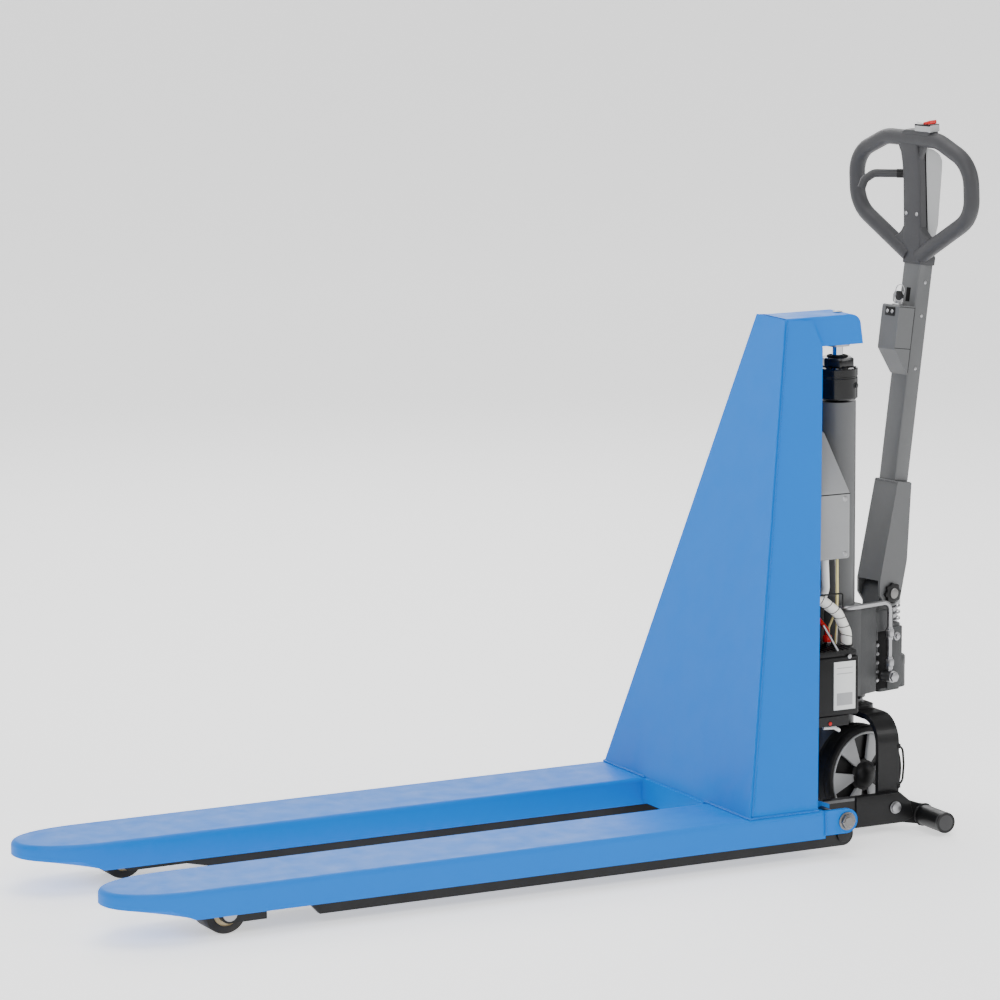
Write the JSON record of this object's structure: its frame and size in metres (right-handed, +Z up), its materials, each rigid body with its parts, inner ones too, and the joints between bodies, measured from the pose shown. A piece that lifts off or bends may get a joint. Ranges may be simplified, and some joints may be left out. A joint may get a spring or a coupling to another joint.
{
  "type": "electric pallet truck",
  "caption": "High-lift pallet truck: two forks on a scissor frame, tapered lifting tower, hydraulic cylinder, battery power pack and steered tiller with loop handle.",
  "frame": {"origin": "centre of the bounding box in X and Y, on the floor", "axes": "+X from the fork tips towards the operator, +Y towards the operator's right, +Z up"},
  "size_m": [1.7374, 0.56, 1.2488],
  "materials": {
    "blue_paint": "gloss",
    "black_paint": "satin",
    "grey_paint": "satin",
    "zinc": "satin",
    "grey_plastic": "matte",
    "black_plastic": "matte",
    "roller": "matte",
    "tyre": "matte",
    "white_cable": "gloss",
    "yellow_wire": "gloss",
    "red_switch": "gloss"
  },
  "bodies": {
    "chassis": {"side_bar_left": "black_paint", "side_bar_right": "black_paint", "scissor_shaft": "zinc", "wheel_arch": "black_paint", "bearing_plate": "black_paint", "deck": "black_paint", "charger_box": "black_plastic", "battery_pack": "black_plastic", "power_cover": "grey_paint", "harness_loop": "white_cable", "signal_wire": "yellow_wire", "arch_cable": "black_plastic"},
    "fork_frame": {"fork_left": "blue_paint", "fork_right": "blue_paint", "fork_heel_left": "blue_paint", "fork_heel_right": "blue_paint", "heel_lug_left": "blue_paint", "heel_lug_right": "blue_paint", "heel_pin_left": "zinc", "heel_pin_right": "zinc", "cross_panel": "blue_paint", "tower_front": "blue_paint", "tower_side_left": "blue_paint", "tower_side_right": "blue_paint", "tower_cap": "blue_paint", "lift_rod": "zinc"},
    "hinged_arms": {"outer_cheek_left": "black_paint", "outer_cheek_right": "black_paint", "inner_cheek_left": "black_paint", "inner_cheek_right": "black_paint", "arm_tie": "black_paint", "cross_pin_left": "zinc", "cross_pin_right": "zinc"},
    "roller_arms": {"roller_arm_left": "black_paint", "roller_arm_right": "black_paint", "roller_axle_left": "zinc", "roller_axle_right": "zinc"},
    "load_roller_l": {"load_roller_left": "roller"},
    "load_roller_r": {"load_roller_right": "roller"},
    "track_roller_l": {"track_roller_left": "roller"},
    "track_roller_r": {"track_roller_right": "roller"},
    "steering_unit": {"lift_cylinder": "grey_paint", "gland_nut": "zinc", "axle_carrier": "zinc", "pump_housing": "grey_paint", "pressure_pipe": "zinc", "pump_spring": "zinc"},
    "wheel_l": {"steer_wheel_left": "tyre"},
    "wheel_r": {"steer_wheel_right": "tyre"},
    "plunger": {"pump_plunger": "zinc"},
    "tiller": {"tilt_pin": "zinc", "tiller_bracket": "grey_paint", "tiller_tube": "grey_paint", "control_box": "grey_paint", "handle_loop": "grey_plastic", "handle_head": "grey_plastic", "switch_pod": "black_plastic"},
    "key_body": {"key": "zinc"},
    "rocker": {"rocker_switch": "red_switch"},
    "lever": {"lowering_lever": "grey_plastic"}
  },
  "joints": [
    {"name": "scissor_lift", "type": "hinge", "parent": "chassis", "child": "hinged_arms", "pos_m": [0.49725, 0, 0.0375], "axis": [0, 1, 0], "range_deg": [0, 38.13]},
    {"name": "arm_cross", "type": "hinge", "parent": "hinged_arms", "child": "roller_arms", "pos_m": [-0.08625, 0, 0.0505], "axis": [0, 1, 0], "range_deg": [-76.26, 0]},
    {"name": "heel_hinge", "type": "hinge", "parent": "roller_arms", "child": "fork_frame", "pos_m": [0.49725, 0, 0.0635], "axis": [0, 1, 0], "range_deg": [0, 38.13]},
    {"name": "load_roller_spin_l", "type": "hinge", "parent": "roller_arms", "child": "load_roller_l", "pos_m": [-0.66975, -0.213, 0.0375], "axis": [0, 1, 0], "continuous": true},
    {"name": "track_roller_spin_l", "type": "hinge", "parent": "hinged_arms", "child": "track_roller_l", "pos_m": [-0.66975, -0.1375, 0.0635], "axis": [0, 1, 0], "continuous": true},
    {"name": "load_roller_spin_r", "type": "hinge", "parent": "roller_arms", "child": "load_roller_r", "pos_m": [-0.66975, 0.213, 0.0375], "axis": [0, 1, 0], "continuous": true},
    {"name": "track_roller_spin_r", "type": "hinge", "parent": "hinged_arms", "child": "track_roller_r", "pos_m": [-0.66975, 0.1375, 0.0635], "axis": [0, 1, 0], "continuous": true},
    {"name": "steering", "type": "hinge", "parent": "chassis", "child": "steering_unit", "pos_m": [0.63425, 0, 0.213], "axis": [0, 0, 1], "range_deg": [-77, 53]},
    {"name": "wheel_spin_l", "type": "hinge", "parent": "steering_unit", "child": "wheel_l", "pos_m": [0.64683, -0.05918, 0.09], "axis": [-0.2079, 0.9781, 0], "continuous": true},
    {"name": "wheel_spin_r", "type": "hinge", "parent": "steering_unit", "child": "wheel_r", "pos_m": [0.62167, 0.05918, 0.09], "axis": [-0.2079, 0.9781, 0], "continuous": true},
    {"name": "tiller_tilt", "type": "hinge", "parent": "steering_unit", "child": "tiller", "pos_m": [0.73989, 0.02245, 0.4], "axis": [-0.2079, 0.9781, 0], "range_deg": [0, 75], "stiffness_Nm_per_rad": 45},
    {"name": "plunger_slide", "type": "slide", "parent": "steering_unit", "child": "plunger", "axis": [0, 0, -1], "range_m": [0, 0.025], "deforming": ["pump_spring"]},
    {"name": "key_turn", "type": "hinge", "parent": "tiller", "child": "key_body", "pos_m": [0.78039, 0.03106, 0.9206], "axis": [0.1446, 0.0307, 0.989], "range_deg": [0, 90]},
    {"name": "rocker_press", "type": "hinge", "parent": "tiller", "child": "rocker", "pos_m": [0.81688, 0.00099, 1.24147], "axis": [0.9772, 0.2077, 0.0436], "range_deg": [-6, 6], "stiffness_Nm_per_rad": 0.6},
    {"name": "lever_pull", "type": "hinge", "parent": "tiller", "child": "lever", "pos_m": [0.82161, 0.07152, 1.14362], "axis": [-0.2079, 0.9781, 0], "range_deg": [-12, 14], "stiffness_Nm_per_rad": 2.5}
  ],
  "couplings": [
    {"joint": "arm_cross", "follows": "scissor_lift", "ratio": -2},
    {"joint": "heel_hinge", "follows": "scissor_lift", "ratio": 1},
    {"joint": "plunger_slide", "follows": "tiller_tilt", "m_per_rad": 0.019099}
  ]
}
